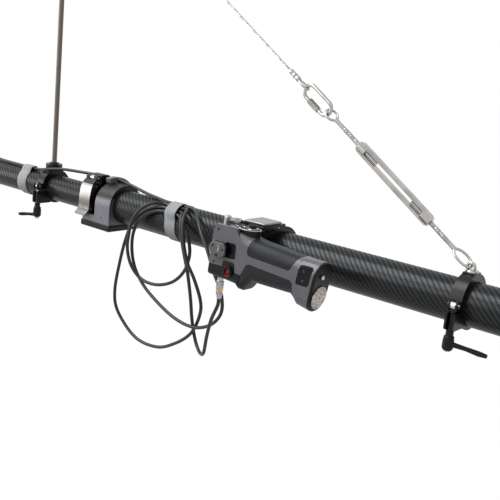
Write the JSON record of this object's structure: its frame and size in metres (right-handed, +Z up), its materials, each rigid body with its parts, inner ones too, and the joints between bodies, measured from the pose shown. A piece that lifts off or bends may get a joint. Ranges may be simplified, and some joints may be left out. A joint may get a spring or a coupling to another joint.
{
  "type": "camera boom pole",
  "caption": "Carbon boom pole with a telescoping rear tube, wire-stayed mast, saddle, latch, turnbuckle and a control grip on a clamp with looped cable",
  "frame": {"origin": "middle of the flat underside of the saddle's base plate", "axes": "+X along the boom towards the stay clamp, +Z up along the mast, -Y towards the control grip"},
  "size_m": [1.292, 0.1345, 0.713],
  "materials": {
    "carbon": "clear-coated carbon fibre with a diagonal weave",
    "bush_polymer": "turned sliding polymer",
    "black_anodised": "black anodised, satin",
    "grey_anodised": "dark grey anodised, bead blasted",
    "silver_lever": "silver satin",
    "stainless_steel": "polished stainless",
    "handle_plastic": "black moulded, fine grain",
    "bronze_rod": "bronze grey, satin",
    "grey_webbing": "grey hook and loop tape",
    "grip_rubber": "matt, grained",
    "grip_grey": "grey satin moulding",
    "status_glass": "smoked, glossy",
    "end_disc": "warm grey, finely turned",
    "red_ring": "red anodised ring",
    "cable_jacket": "black jacket, satin"
  },
  "bodies": {
    "boom": {"main_tube": "carbon", "mouth_bush": "bush_polymer", "front_end_plug": "black_anodised", "saddle_block": "grey_anodised", "base_plate": "black_anodised", "latch_collar": "black_anodised", "latch_bolt": "stainless_steel", "latch_pin": "stainless_steel", "stay_clamp_ring": "black_anodised", "stay_clamp_stud": "stainless_steel", "pad_eye": "stainless_steel", "turnbuckle_lower_eye": "stainless_steel", "turnbuckle_upper_eye": "stainless_steel", "quick_link": "stainless_steel", "wire_lower_end": "stainless_steel", "stay_wire": "stainless_steel", "strap_right": "grey_webbing", "grip_clamp": "black_anodised", "grip_clamp_cap": "black_anodised", "grip_arm": "black_anodised", "grip_core": "handle_plastic", "grip_side_shell": "grip_grey", "grip_back_shell": "grip_grey", "grip_upper_pad": "grip_rubber", "grip_lower_pad": "grip_rubber", "grip_head_base": "handle_plastic", "grip_window": "status_glass", "grip_end_plate": "handle_plastic", "grip_end_disc": "end_disc", "grip_end_stud": "stainless_steel", "rail_plate": "grey_anodised", "control_plate": "handle_plastic", "accessory_socket": "black_anodised", "plug_socket": "black_anodised", "cable_plug": "silver_lever", "angle_plug": "silver_lever", "angle_cable": "cable_jacket", "cable_boom_run": "cable_jacket", "cable_loops": "cable_jacket"},
    "rear_section": {"rear_tube": "carbon", "inner_bush": "bush_polymer", "rear_end_plug": "black_anodised", "mast_clamp_ring": "black_anodised", "mast_clamp_stud": "stainless_steel", "mast_foot": "black_anodised", "mast_rod": "bronze_rod", "mast_head": "stainless_steel", "strap_left": "grey_webbing", "rear_connector": "black_anodised", "wire_upper_end": "stainless_steel"},
    "latch_lever": {"latch_lever": "silver_lever"},
    "mast_clamp_handle": {"mast_clamp_handle": "handle_plastic"},
    "stay_clamp_handle": {"stay_clamp_handle": "handle_plastic"},
    "turnbuckle_body": {"turnbuckle_body": "stainless_steel"},
    "quick_link_sleeve": {"quick_link_sleeve": "stainless_steel"},
    "control_button_1": {"control_button_1": "handle_plastic"},
    "control_button_2": {"control_button_2": "handle_plastic"},
    "control_button_3": {"control_button_3": "handle_plastic"},
    "joystick": {"joystick": "grip_rubber"}
  },
  "joints": [
    {"name": "rear_section_slide", "type": "slide", "parent": "boom", "child": "rear_section", "axis": [1, 0, 0], "range_m": [0, 0.06], "deforming": ["stay_wire", "cable_boom_run"]},
    {"name": "latch_lever_hinge", "type": "hinge", "parent": "boom", "child": "latch_lever", "pos_m": [-0.02475, -0.017, 0.072], "axis": [-1, 0, 0], "range_deg": [0, 110]},
    {"name": "mast_clamp_handle_turn", "type": "hinge", "parent": "rear_section", "child": "mast_clamp_handle", "pos_m": [-0.14, -0.0321, 0.0122], "axis": [0, 0, 1], "continuous": true},
    {"name": "stay_clamp_handle_turn", "type": "hinge", "parent": "boom", "child": "stay_clamp_handle", "pos_m": [0.5838, -0.0366, 0.0122], "axis": [0, 0, 1], "continuous": true},
    {"name": "turnbuckle_spin", "type": "hinge", "parent": "boom", "child": "turnbuckle_body", "pos_m": [0.47261, 0, 0.14906], "axis": [-0.8261, 0, 0.5636], "continuous": true},
    {"name": "quick_link_sleeve_spin", "type": "hinge", "parent": "boom", "child": "quick_link_sleeve", "pos_m": [0.35004, 0, 0.22226], "axis": [-0.8261, 0, 0.5636], "continuous": true},
    {"name": "control_button_1_press", "type": "slide", "parent": "boom", "child": "control_button_1", "axis": [0, 0, -1], "range_m": [0, 0.001], "stiffness_N_per_m": 300},
    {"name": "control_button_2_press", "type": "slide", "parent": "boom", "child": "control_button_2", "axis": [0, 0, -1], "range_m": [0, 0.001], "stiffness_N_per_m": 300},
    {"name": "control_button_3_press", "type": "slide", "parent": "boom", "child": "control_button_3", "axis": [0, 0, -1], "range_m": [0, 0.001], "stiffness_N_per_m": 300},
    {"name": "joystick_tilt", "type": "hinge", "parent": "boom", "child": "joystick", "pos_m": [0.335, -0.075, 0.0714], "axis": [0, 1, 0], "range_deg": [-10, 10], "stiffness_Nm_per_rad": 0.02}
  ]
}
